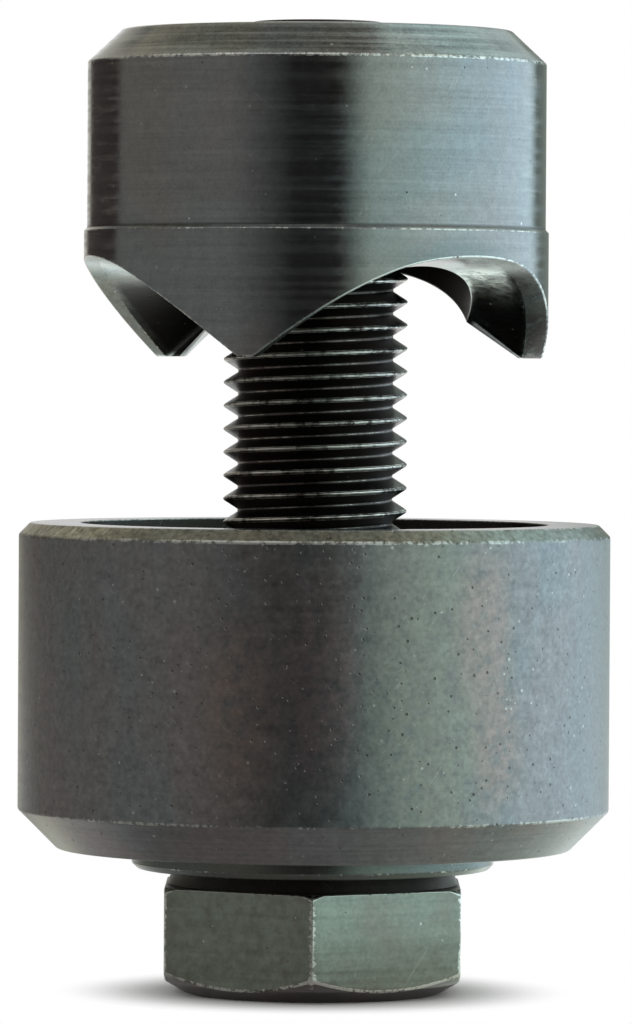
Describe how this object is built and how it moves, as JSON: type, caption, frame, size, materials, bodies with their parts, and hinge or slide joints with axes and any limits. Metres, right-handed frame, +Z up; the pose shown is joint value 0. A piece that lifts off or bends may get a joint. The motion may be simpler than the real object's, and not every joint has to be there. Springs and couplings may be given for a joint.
{
  "type": "knockout punch",
  "caption": "Screw-driven sheet-metal hole punch: a hex draw bolt on a thrust ball bearing pulls a toothed round punch down into a cup-shaped die.",
  "frame": {"origin": "middle of the hex head's underside, which is the lowest face", "axes": "+Z up along the draw bolt; the picture looks along +Y with +X to its right"},
  "size_m": [0.0382, 0.0382, 0.0626],
  "materials": {
    "blackened_steel": "blackened, turned, semi-gloss",
    "bolt_steel": "blackened, worn at the edges",
    "race_steel": "ground",
    "ball_steel": "polished",
    "cage_brass": "plain"
  },
  "bodies": {
    "die": {"die": "blackened_steel", "upper_race": "race_steel"},
    "bolt": {"draw_bolt": "bolt_steel", "lower_race": "race_steel"},
    "cage": {"ball_cage": "cage_brass", "ball_01": "ball_steel", "ball_02": "ball_steel", "ball_03": "ball_steel", "ball_04": "ball_steel", "ball_05": "ball_steel", "ball_06": "ball_steel", "ball_07": "ball_steel", "ball_08": "ball_steel", "ball_09": "ball_steel", "ball_10": "ball_steel", "ball_11": "ball_steel", "ball_12": "ball_steel", "ball_13": "ball_steel", "ball_14": "ball_steel"},
    "punch": {"punch": "blackened_steel"}
  },
  "joints": [
    {"name": "bolt_turn", "type": "hinge", "parent": "die", "child": "bolt", "pos_m": [0, 0, 0], "axis": [0, 0, 1], "range_deg": [-1441, 4321]},
    {"name": "punch_draw", "type": "slide", "parent": "die", "child": "punch", "axis": [0, 0, 1], "range_m": [-0.018, 0.006]},
    {"name": "cage_turn", "type": "hinge", "parent": "die", "child": "cage", "pos_m": [0, 0, 0], "axis": [0, 0, 1], "range_deg": [-721, 2161]}
  ],
  "couplings": [
    {"joint": "bolt_turn", "follows": "punch_draw", "rad_per_m": -4188.8},
    {"joint": "cage_turn", "follows": "punch_draw", "rad_per_m": -2094.4}
  ]
}
